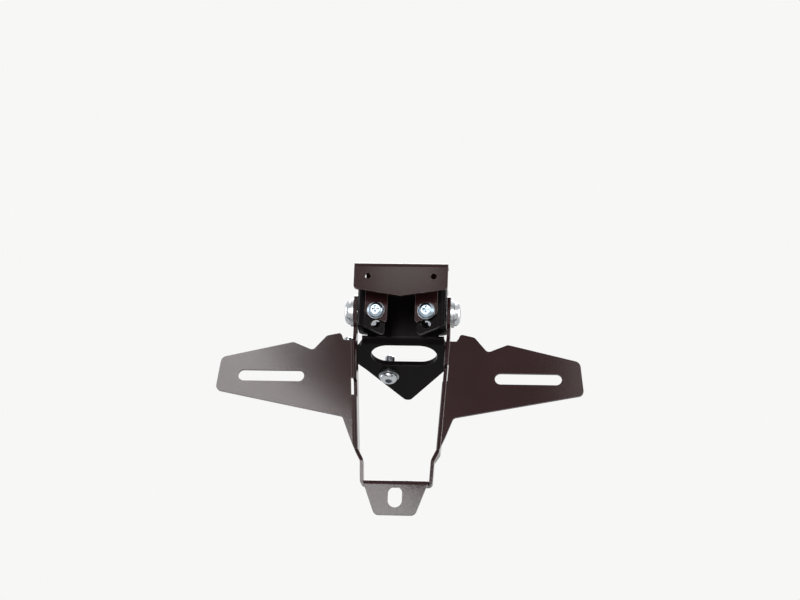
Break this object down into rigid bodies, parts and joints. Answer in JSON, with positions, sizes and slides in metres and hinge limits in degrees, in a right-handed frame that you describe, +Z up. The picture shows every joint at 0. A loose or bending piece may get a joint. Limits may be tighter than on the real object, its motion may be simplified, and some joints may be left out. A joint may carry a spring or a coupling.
{
  "type": "motorcycle tail tidy",
  "caption": "Folded sheet tail tidy: winged number plate hanger pivoting on a sloping mounting bracket, with a small lamp hood above.",
  "frame": {"origin": "midway between the two long plate slots, on the rear face of the wings", "axes": "+X to the right seen from behind, +Y forward through the wings, +Z up along the plate"},
  "size_m": [0.2098, 0.0952, 0.1443],
  "materials": {
    "hanger_coat": "satin",
    "bracket_coat": "satin",
    "zinc": "polished"
  },
  "bodies": {
    "bracket": {"mounting_bracket": "bracket_coat", "light_bracket": "hanger_coat", "pivot_bolt_left": "zinc", "pivot_bolt_right": "zinc", "pivot_outer_washer_left": "zinc", "pivot_outer_washer_right": "zinc", "pivot_inner_washer_left": "zinc", "pivot_inner_washer_right": "zinc", "pivot_nut_left": "zinc", "pivot_nut_right": "zinc", "light_screw_left": "zinc", "light_screw_right": "zinc", "light_washer_left": "zinc", "light_washer_right": "zinc", "base_bolt_front": "zinc", "base_bolt_left": "zinc", "base_bolt_right": "zinc", "base_washer_front": "zinc", "base_washer_left": "zinc", "base_washer_right": "zinc"},
    "hanger": {"plate_hanger": "hanger_coat"}
  },
  "joints": [
    {"name": "hanger_tilt", "type": "hinge", "parent": "bracket", "child": "hanger", "pos_m": [0, 0.01, 0.0414], "axis": [1, 0, 0], "range_deg": [-25, 15]}
  ]
}
